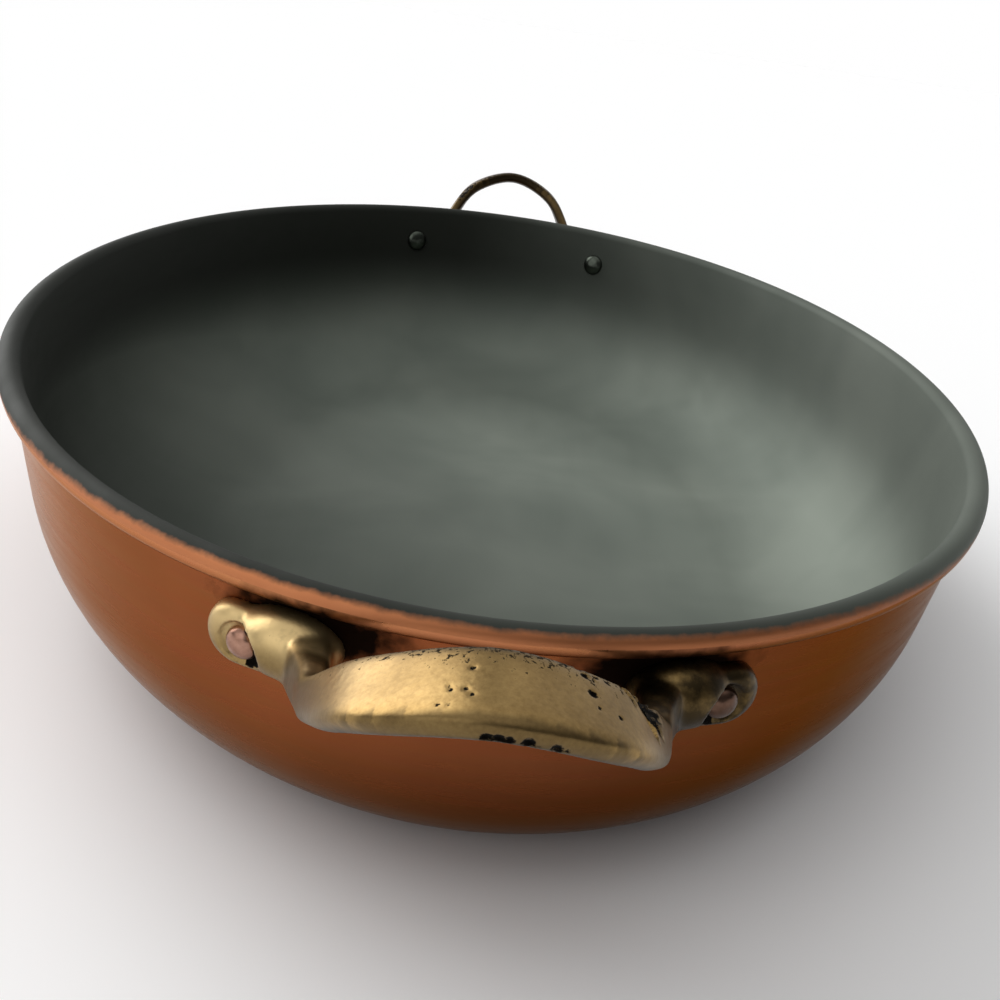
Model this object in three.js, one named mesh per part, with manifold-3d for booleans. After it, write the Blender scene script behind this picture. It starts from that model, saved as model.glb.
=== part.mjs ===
// Oval copper gratin pan, tinned inside, with a cast brass loop handle riveted to each end.
// Millimetres, +Z up. The origin is the middle of the flat base, and the long axis lies along Y.
import * as THREE from "three";
import { mergeVertices } from "three/addons/utils/BufferGeometryUtils.js";
import Module from "manifold-3d";

// Pan body, a single raised copper sheet
const RIM_LENGTH = 397; // over the bead, along Y
const RIM_WIDTH = 280; // over the bead, along X
const PAN_HEIGHT = 72; // underside of the base to the top of the bead
const COPPER_THICKNESS = 2.5;
const CORNER_RADIUS = 49; // outside, where the base turns up into the wall
const WALL_LEAN = THREE.MathUtils.degToRad(9); // from the vertical, outwards
const BEAD_DIAMETER = 5.2; // the rim's edge, turned outwards and hammered round
const TIN_THICKNESS = 0.4;
const TIN_EDGE = THREE.MathUtils.degToRad(40); // on the bead, above its outermost line
const FIT_GAP = 0.3; // between two pieces that touch

// Rivets, four alike
const RIVET_SPACING = 84; // between the two rivets of one handle
const RIVET_DROP = 14.8; // top of the bead down to the rivets
const SHANK_DIAMETER = 4.6;
const OUTER_HEAD_DIAMETER = 6.8;
const OUTER_HEAD_HEIGHT = 2.6;
const INNER_HEAD_DIAMETER = 8.8;
const INNER_HEAD_HEIGHT = 2.2;

// Handle pads, the two tongues that lie on the wall
const PAD_RADIUS = 6.8; // round end beside the rivet
const PAD_TIP = 9; // rivet to the tip of the pad
const PAD_THICKNESS = 3.8;
const PAD_BEVEL = 2.6; // rounding of the outer edge
const DISH_DIAMETER = 10; // hollow in the pad round the rivet's head
const DISH_DEPTH = 0.8;
const DISH_FLARE = THREE.MathUtils.degToRad(20); // slope of its side
const ROOT_SPACING = 62; // between the two stems, where they leave their pads
const ROOT_RADIUS = 6; // round end of the pad about the stem

// Handle loop, measured out from the wall at the pan's end and up from the rivets
const GRIP_REACH = 43.2; // to the middle of the grip
const GRIP_RISE = 26.5;
const GRIP_BREADTH = 16.6; // across the flat of the grip
const GRIP_THICKNESS = 4.6;
const GRIP_TILT = THREE.MathUtils.degToRad(8); // outer edge of the grip below its inner edge
const HAUNCH_SPAN = 36; // between the haunches, where the grip turns down
const HAUNCH_REACH = 37.8;
const HAUNCH_RISE = 20.3;
const HAUNCH_BREADTH = 15;
const HAUNCH_TILT = THREE.MathUtils.degToRad(5);
const SHOULDER_SPAN = 52.6; // between the shoulders, where the strap turns in to the stems
const SHOULDER_REACH = 24.8;
const SHOULDER_RISE = 9.6;
const SHOULDER_BREADTH = 13.2;
const SHOULDER_TILT = THREE.MathUtils.degToRad(2);
const SHOULDER_TURN = THREE.MathUtils.degToRad(6); // outer edge towards the middle of the handle
const STEM_SPAN = 57;
const STEM_REACH = 11.6;
const STEM_RISE = 3.4;
const STEM_HEIGHT = 9.5;
const STEM_THICKNESS = 5.6;
const STEM_TILT = THREE.MathUtils.degToRad(71); // the strap twists on edge here
const KNUCKLE_OUT = 4.5; // swelling of the stem in front of its pad
const KNUCKLE_RISE = 0.6;
const KNUCKLE_HEIGHT = 10.8;
const KNUCKLE_THICKNESS = 8.6;
const KNUCKLE_TILT = THREE.MathUtils.degToRad(84);
const ROOT_HEIGHT = 12.2;
const ROOT_THICKNESS = 11.4;
const ROOT_TILT = THREE.MathUtils.degToRad(90); // on edge, upright against the wall
const STEM_SQUARENESS = 2.4; // of the section: 2 is an ellipse, and more is closer to a rectangle
const GRIP_SQUARENESS = 4;

// Facets
const OVAL_SIDES = 72;
const CORNER_STEPS = 6;
const BEAD_STEP = THREE.MathUtils.degToRad(36); // most turn between two points of the bead
const HANDLE_STEPS = 48;
const STRAP_SIDES = 14;
const RIVET_SIDES = 16;
const DOME_STEPS = 4;
const PAD_CURVE_STEPS = 8;
const BEVEL_STEPS = 2;
const WELD_DISTANCE = 1e-4; // points closer than this are one

const wasm = await Module();
wasm.setup();

// Solids and geometry

function toSolid(geometry) {
  const bare = geometry.clone();
  bare.deleteAttribute("normal");
  bare.deleteAttribute("uv");
  const merged = mergeVertices(bare, WELD_DISTANCE);
  return new wasm.Manifold(
    new wasm.Mesh({
      numProp: 3,
      vertProperties: merged.attributes.position.array,
      triVerts: new Uint32Array(merged.index.array),
    }),
  );
}

function toGeometry(solid) {
  const { vertProperties, triVerts } = solid.getMesh();
  const geometry = new THREE.BufferGeometry();
  geometry.setAttribute("position", new THREE.BufferAttribute(vertProperties, 3));
  geometry.setIndex(new THREE.BufferAttribute(triVerts, 1));
  geometry.computeVertexNormals();
  return geometry;
}

// A closed skin over rings of equally many points, with a fan to the middle of each end ring.
function loft(rings) {
  const sides = rings[0].length;
  const points = rings.flat();
  const index = [];
  for (let ring = 0; ring + 1 < rings.length; ring++) {
    for (let side = 0; side < sides; side++) {
      const a = ring * sides + side;
      const b = ring * sides + ((side + 1) % sides);
      index.push(a, b, b + sides, a, b + sides, a + sides);
    }
  }
  const middleOf = (ring) => ring.reduce((sum, p) => sum.add(p), new THREE.Vector3()).divideScalar(sides);
  const first = points.push(middleOf(rings[0])) - 1;
  const last = points.push(middleOf(rings.at(-1))) - 1;
  const lastRing = (rings.length - 1) * sides;
  for (let side = 0; side < sides; side++) {
    const next = (side + 1) % sides;
    index.push(first, next, side, last, lastRing + side, lastRing + next);
  }
  const geometry = new THREE.BufferGeometry().setFromPoints(points);
  geometry.setIndex(index);
  return geometry;
}

// Section of the sheet, from the edge of the flat base (reach 0) up the wall to the bead

const halfSheet = COPPER_THICKNESS / 2;
const cornerMid = CORNER_RADIUS - halfSheet;
const beadRadius = BEAD_DIAMETER / 2;
const wallIn = new THREE.Vector2(-Math.cos(WALL_LEAN), Math.sin(WALL_LEAN)); // square to the wall
const wallUp = new THREE.Vector2(Math.sin(WALL_LEAN), Math.cos(WALL_LEAN));
const wallFoot = new THREE.Vector2(
  cornerMid * Math.cos(WALL_LEAN),
  halfSheet + cornerMid * (1 - Math.sin(WALL_LEAN)),
);
const beadOut = beadRadius - halfSheet; // the bead is flush with the wall's inner face
const wallRise = PAN_HEIGHT - beadRadius + beadOut * wallIn.y - wallFoot.y;
const wallHead = wallFoot.clone().addScaledVector(wallUp, wallRise / wallUp.y);
const beadMiddle = wallHead.clone().addScaledVector(wallIn, -beadOut);
const sectionReach = beadMiddle.x + beadRadius; // edge of the flat base to the outermost line of the bead

// The sheet from the flat base to the wall's head, moved into the pan by a distance, or out of it by a
// negative one.
function sheetLine(distance) {
  const points = [];
  const radius = cornerMid - distance;
  const middle = halfSheet + cornerMid;
  for (let step = 0; step <= CORNER_STEPS; step++) {
    const turn = ((Math.PI / 2 - WALL_LEAN) * step) / CORNER_STEPS;
    points.push(new THREE.Vector2(radius * Math.sin(turn), middle - radius * Math.cos(turn)));
  }
  points.push(wallHead.clone().addScaledVector(wallIn, distance));
  return points;
}

// An arc about the bead's middle. Turns are measured from straight down the wall (0) by the outermost
// line (a quarter) and the top (a half) to the wall's inner face (three quarters of a circle).
function beadArc(radius, start, end) {
  const points = [];
  const steps = Math.ceil(Math.abs(end - start) / BEAD_STEP);
  for (let step = 0; step <= steps; step++) {
    const turn = start + ((end - start) * step) / steps;
    const point = beadMiddle.clone().addScaledVector(wallUp, -radius * Math.cos(turn));
    points.push(point.addScaledVector(wallIn, -radius * Math.sin(turn)));
  }
  return points;
}

const BEAD_INSIDE = 1.5 * Math.PI;
const BEAD_TOP = Math.PI;

// Where an arc of the bead starts, on the outer face of the sheet or on a face parallel to it.
const beadStart = (radius, distance) => Math.asin((distance - beadOut) / radius);

// A section carried round the oval: each of its points keeps the same distance from the lip.
function ovalLoft(section) {
  const rings = section.map(({ x: reach, y: height }) => {
    const inset = sectionReach - reach;
    const ring = [];
    for (let side = 0; side < OVAL_SIDES; side++) {
      const turn = (2 * Math.PI * side) / OVAL_SIDES;
      const x = (RIM_WIDTH / 2 - inset) * Math.cos(turn);
      const y = (RIM_LENGTH / 2 - inset) * Math.sin(turn);
      ring.push(new THREE.Vector3(x, y, height));
    }
    return ring;
  });
  return loft(rings);
}

function copperSheet() {
  const outside = sheetLine(-halfSheet).slice(0, -1);
  const bead = beadArc(beadRadius, beadStart(beadRadius, halfSheet), BEAD_INSIDE);
  const inside = sheetLine(halfSheet).slice(0, -1).reverse();
  return ovalLoft([...outside, ...bead, ...inside]);
}

// The tin covers the inside and runs over the top of the bead.
function tinSkin() {
  const face = (gap) => [
    ...sheetLine(halfSheet + gap).slice(0, -1),
    ...beadArc(beadRadius + gap, BEAD_INSIDE, Math.PI / 2 + WALL_LEAN + TIN_EDGE),
  ];
  return ovalLoft([...face(FIT_GAP), ...face(FIT_GAP + TIN_THICKNESS).reverse()]);
}

// The room that the body takes up from outside, with the gap that a piece lying on it keeps.
function bodyRoom() {
  const radius = beadRadius + FIT_GAP;
  const outside = sheetLine(-halfSheet - FIT_GAP).slice(0, -1);
  const bead = beadArc(radius, beadStart(radius, halfSheet + FIT_GAP), BEAD_TOP);
  return toSolid(ovalLoft([...outside, ...bead]));
}

// Outer face of the wall at the pan's end, where a handle sits. The end faces +Y here.

const rivetHeight = PAN_HEIGHT - RIVET_DROP;

function wallInset(height) {
  const footHeight = wallFoot.y - halfSheet * Math.sin(WALL_LEAN);
  const footReach = wallFoot.x + halfSheet * Math.cos(WALL_LEAN);
  if (height >= footHeight) return sectionReach - footReach - (height - footHeight) * Math.tan(WALL_LEAN);
  return sectionReach - Math.sqrt(CORNER_RADIUS ** 2 - (CORNER_RADIUS - height) ** 2);
}

function wallPoint(x, height) {
  const inset = wallInset(height);
  const across = x / (RIM_WIDTH / 2 - inset);
  return new THREE.Vector3(x, (RIM_LENGTH / 2 - inset) * Math.sqrt(1 - across ** 2), height);
}

// Frame of the pad on one side: its origin is the rivet's place on the wall, X runs along the wall
// to the stem and Z square out of it. The side is 1 at +X and -1 at -X.
function padFrame(side) {
  const rivet = wallPoint((side * RIVET_SPACING) / 2, rivetHeight);
  const root = wallPoint((side * ROOT_SPACING) / 2, rivetHeight);
  const inset = wallInset(rivetHeight);
  const steepness = new THREE.Vector3(
    rivet.x / (RIM_WIDTH / 2 - inset) ** 2,
    rivet.y / (RIM_LENGTH / 2 - inset) ** 2,
    0,
  );
  const level = steepness.normalize();
  const along = new THREE.Vector3(-side * level.y, side * level.x, 0);
  const outward = level.multiplyScalar(Math.cos(WALL_LEAN)).setZ(-Math.sin(WALL_LEAN));
  const frame = new THREE.Matrix4().makeBasis(along, outward.clone().cross(along), outward);
  const rootDistance = root.sub(rivet).dot(along);
  return { frame: frame.setPosition(rivet), rootDistance };
}

// Handle

const endWall = wallPoint(0, rivetHeight).y;

// The strap's stations from the stem's root to the middle of the grip: where its middle is, how broad
// and thick it is, and how far its flat is tilted from level. Breadth is a vector across the flat,
// from the strap's inner and upper edge to its outer and lower edge.
function halfStrap() {
  const station = ([span, reach, rise], [breadth, thickness], squareness, tilt, turn = 0) => ({
    middle: new THREE.Vector3(span / 2, endWall + reach, rivetHeight + rise),
    breadth: new THREE.Vector3(
      -breadth * Math.cos(tilt) * Math.sin(turn),
      breadth * Math.cos(tilt) * Math.cos(turn),
      -breadth * Math.sin(tilt),
    ),
    thickness,
    squareness,
  });
  const root = wallPoint(ROOT_SPACING / 2, rivetHeight).y - endWall;
  const knuckle = root + KNUCKLE_OUT;
  return [
    station([ROOT_SPACING, root, 0], [ROOT_HEIGHT, ROOT_THICKNESS], STEM_SQUARENESS, ROOT_TILT),
    station(
      [ROOT_SPACING, knuckle, KNUCKLE_RISE],
      [KNUCKLE_HEIGHT, KNUCKLE_THICKNESS],
      STEM_SQUARENESS,
      KNUCKLE_TILT,
    ),
    station([STEM_SPAN, STEM_REACH, STEM_RISE], [STEM_HEIGHT, STEM_THICKNESS], STEM_SQUARENESS, STEM_TILT),
    station(
      [SHOULDER_SPAN, SHOULDER_REACH, SHOULDER_RISE],
      [SHOULDER_BREADTH, GRIP_THICKNESS],
      GRIP_SQUARENESS,
      SHOULDER_TILT,
      SHOULDER_TURN,
    ),
    station(
      [HAUNCH_SPAN, HAUNCH_REACH, HAUNCH_RISE],
      [HAUNCH_BREADTH, GRIP_THICKNESS],
      GRIP_SQUARENESS,
      HAUNCH_TILT,
    ),
    station([0, GRIP_REACH, GRIP_RISE], [GRIP_BREADTH, GRIP_THICKNESS], GRIP_SQUARENESS, GRIP_TILT),
  ];
}

// Both halves of the strap, from the root at +X over the grip to the root at -X.
function strapStations() {
  const half = halfStrap();
  const mirrored = half
    .slice(0, -1)
    .reverse()
    .map((station) => ({
      ...station,
      middle: station.middle.clone().setX(-station.middle.x),
      breadth: station.breadth.clone().setX(-station.breadth.x),
    }));
  return [...half, ...mirrored];
}

// A smooth strap through the stations, with a rounded oblong section.
function strap() {
  const stations = strapStations();
  const spine = new THREE.CatmullRomCurve3(stations.map((s) => s.middle));
  const breadths = new THREE.CatmullRomCurve3(stations.map((s) => s.breadth));
  const sections = new THREE.SplineCurve(stations.map((s) => new THREE.Vector2(s.thickness, s.squareness)));
  const rings = [];
  for (let step = 0; step <= HANDLE_STEPS; step++) {
    const t = step / HANDLE_STEPS;
    const middle = spine.getPoint(t);
    const halfBreadth = breadths.getPoint(t).multiplyScalar(0.5);
    const face = spine.getTangent(t).cross(halfBreadth).normalize();
    const { x: thickness, y: squareness } = sections.getPoint(t);
    const rounded = (value) => Math.sign(value) * Math.abs(value) ** (2 / squareness);
    const ring = [];
    for (let side = 0; side < STRAP_SIDES; side++) {
      const turn = (2 * Math.PI * (side + 0.5)) / STRAP_SIDES;
      const point = middle.clone().addScaledVector(halfBreadth, rounded(Math.cos(turn)));
      ring.push(point.addScaledVector(face, (thickness / 2) * rounded(Math.sin(turn))));
    }
    rings.push(ring);
  }
  return toSolid(loft(rings));
}

// The tongue on the wall: a round end about the rivet and another about the stem.
function pad(side) {
  const { frame, rootDistance } = padFrame(side);
  const rivetEnd = PAD_RADIUS - PAD_BEVEL;
  const rootEnd = ROOT_RADIUS - PAD_BEVEL;
  const outline = new THREE.Shape();
  outline.absarc(PAD_RADIUS - PAD_TIP, 0, rivetEnd, Math.PI / 2, (3 * Math.PI) / 2);
  outline.absarc(rootDistance, 0, rootEnd, -Math.PI / 2, Math.PI / 2);
  outline.closePath();
  const tongue = new THREE.ExtrudeGeometry(outline, {
    depth: 2 * PAD_THICKNESS - 2 * PAD_BEVEL,
    bevelThickness: PAD_BEVEL,
    bevelSize: PAD_BEVEL,
    bevelSegments: BEVEL_STEPS,
    curveSegments: PAD_CURVE_STEPS,
  });
  tongue.translate(0, 0, PAD_BEVEL + FIT_GAP - PAD_THICKNESS);
  return toSolid(tongue.applyMatrix4(frame));
}

// Rivets, along Z in the pad's frame with the wall's outer face at zero

const innerSeat = -(COPPER_THICKNESS + FIT_GAP + TIN_THICKNESS + FIT_GAP);
const dishFloor = FIT_GAP + PAD_THICKNESS - DISH_DEPTH;
const outerSeat = dishFloor + FIT_GAP;

// A hole through the pad, the wall and the lining, past both seats.
function rivetHole(side) {
  const length = 2 * (outerSeat - innerSeat);
  const bore = new THREE.CylinderGeometry(
    SHANK_DIAMETER / 2 + FIT_GAP,
    SHANK_DIAMETER / 2 + FIT_GAP,
    length,
    RIVET_SIDES,
  );
  bore.rotateX(Math.PI / 2);
  return toSolid(bore.applyMatrix4(padFrame(side).frame));
}

const endHoles = rivetHole(1).add(rivetHole(-1));

// The hollow round the rivet's head, which also clears the swelling of the stem beside it.
function dish(side) {
  const radius = DISH_DIAMETER / 2;
  const depth = DISH_DEPTH + ROOT_THICKNESS;
  const hollow = new THREE.LatheGeometry(
    [
      new THREE.Vector2(0, dishFloor),
      new THREE.Vector2(radius, dishFloor),
      new THREE.Vector2(radius + depth * Math.tan(DISH_FLARE), dishFloor + depth),
      new THREE.Vector2(0, dishFloor + depth),
    ],
    RIVET_SIDES,
  );
  return toSolid(hollow.rotateX(Math.PI / 2).applyMatrix4(padFrame(side).frame));
}

// A domed head over its seat, from the seat's edge to the crown.
function dome(seat, radius, height) {
  const points = [];
  for (let step = 0; step <= DOME_STEPS; step++) {
    const turn = ((Math.PI / 2) * step) / DOME_STEPS;
    points.push(new THREE.Vector2(radius * Math.cos(turn), seat + height * Math.sin(turn)));
  }
  points.at(-1).x = 0;
  return points;
}

function rivet() {
  const shank = SHANK_DIAMETER / 2;
  const profile = [
    ...dome(innerSeat, INNER_HEAD_DIAMETER / 2, -INNER_HEAD_HEIGHT).reverse(),
    new THREE.Vector2(shank, innerSeat),
    new THREE.Vector2(shank, outerSeat),
    ...dome(outerSeat, OUTER_HEAD_DIAMETER / 2, OUTER_HEAD_HEIGHT),
  ];
  return new THREE.LatheGeometry(profile, RIVET_SIDES).rotateX(Math.PI / 2);
}

function handle() {
  const casting = strap().add(pad(1)).add(pad(-1)).subtract(bodyRoom());
  const dishes = dish(1).add(dish(-1));
  return toGeometry(casting.subtract(dishes).subtract(endHoles));
}

// Assembly

const copper = new THREE.MeshStandardMaterial({ color: 0xb0683f, roughness: 0.35, metalness: 1 });
const tin = new THREE.MeshStandardMaterial({ color: 0x767d75, roughness: 0.5, metalness: 1 });
const brass = new THREE.MeshStandardMaterial({ color: 0xb59d5c, roughness: 0.4, metalness: 1 });
const rivetCopper = new THREE.MeshStandardMaterial({ color: 0xb57a5b, roughness: 0.4, metalness: 1 });

function named(name, geometry, material) {
  const mesh = new THREE.Mesh(geometry, material);
  mesh.name = name;
  return mesh;
}

// Left and right are as seen from outside, facing that end of the pan.
const SIDES = { left: 1, right: -1 };
const ENDS = { front: Math.PI, rear: 0 };

const rivetHoles = endHoles.add(endHoles.rotate([0, 0, 180]));
const pan = new THREE.Group();
pan.add(named("copper_body", toGeometry(toSolid(copperSheet()).subtract(rivetHoles)), copper));
pan.add(named("tin_lining", toGeometry(toSolid(tinSkin()).subtract(rivetHoles)), tin));

const handleGeometry = handle();
const rivetGeometry = rivet();
for (const [endName, turn] of Object.entries(ENDS)) {
  const end = new THREE.Group();
  end.rotation.z = turn;
  end.add(named(`${endName}_handle`, handleGeometry, brass));
  for (const [sideName, side] of Object.entries(SIDES)) {
    const mesh = named(`${endName}_handle_rivet_${sideName}`, rivetGeometry, rivetCopper);
    mesh.applyMatrix4(padFrame(side).frame);
    end.add(mesh);
  }
  pan.add(end);
}

export default pan;
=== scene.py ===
"""Oval copper gratin pan, tinned inside, with a cast brass loop handle riveted to each end."""
import math
from contextlib import contextmanager

import bpy
import numpy as np
from mathutils import Matrix, Vector


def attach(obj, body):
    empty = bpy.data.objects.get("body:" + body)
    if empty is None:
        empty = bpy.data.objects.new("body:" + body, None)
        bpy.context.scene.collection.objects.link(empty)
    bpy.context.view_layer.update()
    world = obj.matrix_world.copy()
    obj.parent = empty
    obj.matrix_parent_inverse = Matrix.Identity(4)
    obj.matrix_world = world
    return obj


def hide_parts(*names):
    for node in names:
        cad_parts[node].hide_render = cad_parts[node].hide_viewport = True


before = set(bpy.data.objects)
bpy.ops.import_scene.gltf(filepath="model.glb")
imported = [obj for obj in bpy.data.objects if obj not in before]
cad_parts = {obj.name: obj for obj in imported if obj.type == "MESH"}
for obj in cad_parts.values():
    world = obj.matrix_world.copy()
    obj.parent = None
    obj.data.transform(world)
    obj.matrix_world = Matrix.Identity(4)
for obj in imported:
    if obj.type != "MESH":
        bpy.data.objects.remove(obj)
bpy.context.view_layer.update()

MM = 0.001
BODY = "root"

# Pan body, a raised copper sheet
RIM_HALF_LENGTH = 198.5 * MM
RIM_HALF_WIDTH = 140 * MM
PAN_HEIGHT = 72 * MM
COPPER = 2.5 * MM
HALF_COPPER = COPPER / 2
CORNER_RADIUS = 49 * MM
WALL_LEAN = math.radians(9)
BEAD_RADIUS = 2.6 * MM
TIN = 0.4 * MM
TIN_EDGE = math.radians(5)  # on the bead, above its outermost line
TIN_LEAST = 0.03 * MM  # thickness at that edge

# Rivets
RIVET_SPACING = 84 * MM
RIVET_DROP = 14.8 * MM
RIVET_LEVEL = PAN_HEIGHT - RIVET_DROP
SHANK_RADIUS = 2.3 * MM
OUTER_HEAD_RADIUS = 3.4 * MM
OUTER_HEAD_HEIGHT = 2.6 * MM
INNER_HEAD_RADIUS = 4.4 * MM
INNER_HEAD_HEIGHT = 2.2 * MM

# Handle pads
PAD_RADIUS = 6.8 * MM
PAD_TIP = 9 * MM
PAD_SEAT = 3 * MM  # from the wall to the rivet's head
PAD_THICKNESS = 4.2 * MM
PAD_ROUNDING = 3.4 * MM
PAD_SINK = 0.2 * MM  # bedded into the wall, so that no light shows behind it
DISH_RADIUS = 4.9 * MM
DISH_FLARE = math.radians(24)
DISH_FOOT = 1.2 * MM  # rounding at its bottom
DISH_TOP = 12 * MM  # clears the swelling of the stem
DISH_GRIME_AND_SHADE = 0.8 * MM  # width of the soft edge of the grime and painted shade
ROOT_SPACING = 62 * MM
ROOT_RADIUS = 6 * MM
SWELLING = (10.5 * MM, 6.8 * MM, 8.4 * MM)  # half sizes along the wall, up it and out of it
SWELLING_BACK = 3.5 * MM  # from the root, towards the rivet
SWELLING_UP = 2 * MM

# Handle loop: span over both sides, reach from the wall, rise over the rivets, breadth, thickness,
# tilt of the flat from level, and turn of its outer edge towards the middle
GRIP = (0, 43.2, 26.5, 16.6, 4.6, 8, 0)
HAUNCH = (36, 37.8, 20.3, 15, 4.6, 5, 0)
SHOULDER = (52.6, 24.8, 9.6, 13.2, 4.6, 2, 6)
STEM = (57, 11.6, 3.4, 9.5, 5.6, 71, 0)
KNUCKLE = (62, 4.5, 0.6, 10.8, 8.6, 84, 0)
ROOT = (62, 0, 0, 12.2, 11.4, 90, 0)

# Casting pits: along the handle from its middle, to the right when facing it, across the flat towards
# its outer edge, out of the loop, and radius, in millimetres
PITS = (
    (-1.5, 8.3, -0.9, 1.0), (0.1, 8.3, -1.0, 1.2), (1.6, 8.3, -1.0, 1.0),
    (4.3, 8.3, -0.9, 1.3), (5.6, 8.3, -1.2, 0.8), (8.2, 8.2, -1.0, 1.2), (9.8, 8.2, -0.9, 1.0),
    (-10.5, 8.0, -0.8, 0.9), (-22.3, 6.8, -0.5, 0.7), (-15.0, 7.8, -0.9, 0.5),
    (-4.0, -2.3, 2.3, 0.6), (-6.7, 2.0, 2.3, 0.55), (-4.7, 2.1, 2.3, 0.55), (-3.8, 3.2, 2.3, 0.5),
    (-8.1, 5.5, 2.3, 0.45), (-6.8, 5.0, 2.3, 0.45), (2.5, 6.1, 2.3, 0.4), (6.1, -0.5, 2.3, 0.35),
    (13.0, -2.1, 2.2, 0.9), (13.9, 0.3, 2.2, 0.45), (11.9, -5.5, 2.0, 0.9), (13.5, -5.3, 2.0, 0.7),
    (11.0, -6.8, 1.6, 0.8), (17.2, 1.0, 2.2, 0.5), (15.4, -5.6, 2.0, 0.6), (9.2, -6.9, 1.7, 0.6),
    (18.8, -6.2, 1.7, 1.5), (20.0, -5.6, 1.8, 2.0), (21.4, -4.6, 1.9, 2.4), (22.8, -3.0, 2.0, 2.6),
    (23.8, -1.2, 2.0, 2.2),
)
PIT_DEPTH = 0.45  # of a pit's radius
FLAT_FULL, FLAT_END = 0.2, 0.25  # shares of the loop, from its middle, over which the flat strap ends
BEND_START, BEND_FULL = 20 * MM, 28 * MM  # from the middle of the strap
PAD_FULL, PAD_END = 6.5 * MM, 9 * MM  # out of the wall, over which the pad gives way to the stem

# Mesh density
OVAL_POINTS = 288
CORNER_STEPS = 24
WALL_STEPS = 4
BEAD_STEPS = 20
STRAP_STEPS = 48
STRAP_ROUNDING = 24  # percent of the breadth and of the thickness
CAST_GRAIN = 0.42 * MM
CAST_SMOOTHING = 5
END_SMOOTHING = 40
GRIP_END = 22 * MM  # the softer ends of the handle start here
END_FADE = 6 * MM
PAD_POINTS = 48
PAD_ROUNDING_STEPS = 8
RIVET_POINTS = 40
DOME_STEPS = 8
SHARPEST_SMOOTH = math.radians(50)  # angle between faces past which an edge stays sharp


# Modelling

def pick(*pieces):
    """Selects these pieces alone, with the first one active."""
    bpy.ops.object.select_all(action="DESELECT")
    for piece in pieces:
        piece.select_set(True)
    bpy.context.view_layer.objects.active = pieces[0]


@contextmanager
def editing(piece):
    pick(piece)
    bpy.ops.object.mode_set(mode="EDIT")
    yield
    bpy.ops.object.mode_set(mode="OBJECT")


def finish_with(piece, kind, **settings):
    """Adds one modifier and applies it."""
    pick(piece)
    modifier = piece.modifiers.new(kind.lower(), kind)
    for name, value in settings.items():
        setattr(modifier, name, value)
    bpy.ops.object.modifier_apply(modifier=modifier.name)


def cut(piece, tool):
    """Takes the tool's room out of the piece and throws the tool away."""
    finish_with(piece, "BOOLEAN", operation="DIFFERENCE", object=tool, solver="EXACT")
    bpy.data.objects.remove(tool)


def join(*pieces):
    pick(*pieces)
    bpy.ops.object.join()
    return pieces[0]


def place(piece, matrix):
    """Moves a piece and keeps the move in its mesh."""
    pick(piece)
    piece.matrix_world = matrix @ piece.matrix_world
    bpy.ops.object.transform_apply(location=True, rotation=True, scale=True)


def ring_stack(name, rings, points):
    """A closed skin raised from an oval: each ring is half its width, half its length and its height."""
    bpy.ops.object.select_all(action="DESELECT")
    bpy.ops.mesh.primitive_circle_add(vertices=points, radius=1, fill_type="NGON")
    piece = bpy.context.object
    piece.name = name
    with editing(piece):
        bpy.ops.mesh.select_all(action="SELECT")
        wide, long, high = rings[0]
        bpy.ops.transform.resize(value=(wide, long, 1))
        bpy.ops.transform.translate(value=(0, 0, high))
        for (wide, long, low), (next_wide, next_long, high) in zip(rings, rings[1:]):
            bpy.ops.mesh.extrude_region_move(TRANSFORM_OT_translate={"value": (0, 0, high - low)})
            bpy.ops.transform.resize(
                value=(next_wide / wide, next_long / long, 1), center_override=(0, 0, high)
            )
        bpy.ops.mesh.select_all(action="SELECT")
        bpy.ops.mesh.normals_make_consistent(inside=False)
    return piece


def ramp(values, start, end):
    """From 0 at the start to 1 at the end, and level beyond them."""
    return np.clip((values - start) / (end - start), 0, 1)


def mark(piece, name, values):
    """Keeps one number for each point of a piece, for its material."""
    attribute = piece.data.attributes.new(name, "FLOAT", "POINT")
    attribute.data.foreach_set("value", np.asarray(values, dtype=np.float32))


# Section of the sheet: reach from the edge of the flat base, and height

WALL_IN = Vector((-math.cos(WALL_LEAN), math.sin(WALL_LEAN)))
WALL_UP = Vector((math.sin(WALL_LEAN), math.cos(WALL_LEAN)))
CORNER_MID = CORNER_RADIUS - HALF_COPPER
FOOT = Vector((
    CORNER_MID * math.cos(WALL_LEAN),
    HALF_COPPER + CORNER_MID * (1 - math.sin(WALL_LEAN)),
))
BEAD_OUT = BEAD_RADIUS - HALF_COPPER  # the bead is flush with the wall's inner face
WALL_RISE = PAN_HEIGHT - BEAD_RADIUS + BEAD_OUT * WALL_IN.y - FOOT.y
HEAD = FOOT + WALL_UP * (WALL_RISE / WALL_UP.y)
BEAD_MIDDLE = HEAD - WALL_IN * BEAD_OUT
SECTION_REACH = BEAD_MIDDLE.x + BEAD_RADIUS
BEAD_START = math.asin((HALF_COPPER - BEAD_OUT) / BEAD_RADIUS)
BEAD_TOP = math.pi
BEAD_FOOT = PAN_HEIGHT - 2 * BEAD_RADIUS
BEAD_INSIDE = 1.5 * math.pi
TIN_END = math.pi / 2 + WALL_LEAN + TIN_EDGE


def sheet_line(distance):
    """The sheet from the flat base to below the bead, moved into the pan by a distance, or out of it."""
    points = []
    radius = CORNER_MID - distance
    for step in range(CORNER_STEPS + 1):
        turn = (math.pi / 2 - WALL_LEAN) * step / CORNER_STEPS
        rise = HALF_COPPER + CORNER_MID - radius * math.cos(turn)
        points.append(Vector((radius * math.sin(turn), rise)))
    foot = points[-1]
    head = HEAD + WALL_IN * distance
    return points + [foot.lerp(head, step / WALL_STEPS) for step in range(1, WALL_STEPS)]


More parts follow.
